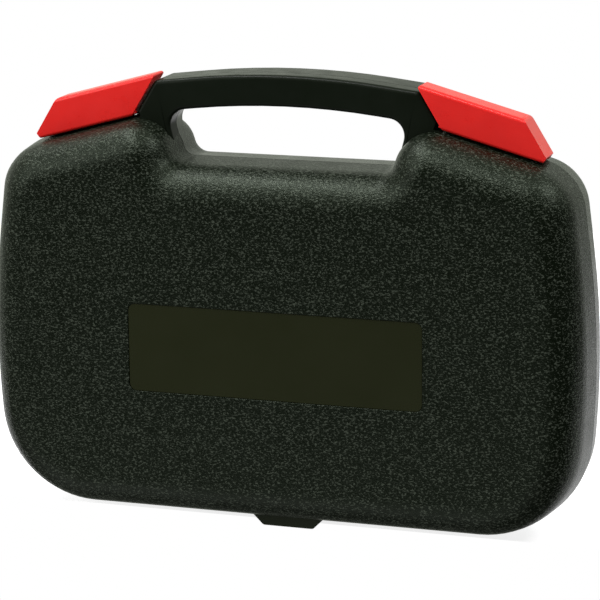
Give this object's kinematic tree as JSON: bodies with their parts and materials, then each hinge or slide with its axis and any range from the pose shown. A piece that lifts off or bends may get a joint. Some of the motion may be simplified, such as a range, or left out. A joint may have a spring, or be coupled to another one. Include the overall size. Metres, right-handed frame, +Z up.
{
  "type": "hard tool case",
  "caption": "Hinged clam-shell carrying case for hand tools, with an arched handle, two swing latches on its shoulders, inner trays and a foot it stands on.",
  "frame": {"origin": "on the floor, under the middle of the case's width and depth", "axes": "+X along the case to the right as seen from the front, +Y from the labelled front to the back, +Z up to the handle"},
  "size_m": [0.3402, 0.067, 0.2521],
  "materials": {
    "shell": "pebble grain, semi-matt",
    "tray": "smooth, matt",
    "handle": "smooth satin",
    "latch": "smooth, soft gloss",
    "label": "smooth satin, blank",
    "steel": "plain zinc-plated"
  },
  "bodies": {
    "base": {"rear_shell": "shell", "rear_tray": "tray", "rear_handle_half": "handle", "rear_handle_screws": "steel", "rear_hinge_lug": "shell", "hinge_pin": "steel", "left_catch": "shell", "right_catch": "shell"},
    "lid": {"front_shell": "shell", "front_tray": "tray", "front_handle_half": "handle", "front_handle_screws": "steel", "front_hinge_lug": "shell", "label_panel": "label", "left_latch_mount": "shell", "right_latch_mount": "shell", "left_latch_pin": "steel", "right_latch_pin": "steel"},
    "left_latch": {"left_latch": "latch"},
    "right_latch": {"right_latch": "latch"}
  },
  "joints": [
    {"name": "lid_hinge", "type": "hinge", "parent": "base", "child": "lid", "pos_m": [0, 0.0015, 0.003], "axis": [1, 0, 0], "range_deg": [0, 108]},
    {"name": "left_latch_hinge", "type": "hinge", "parent": "lid", "child": "left_latch", "pos_m": [-0.10808, -0.0072, 0.22352], "axis": [0.9646, 0, 0.2639], "range_deg": [0, 78]},
    {"name": "right_latch_hinge", "type": "hinge", "parent": "lid", "child": "right_latch", "pos_m": [0.10808, -0.0072, 0.22352], "axis": [0.9646, 0, -0.2639], "range_deg": [0, 78]}
  ]
}
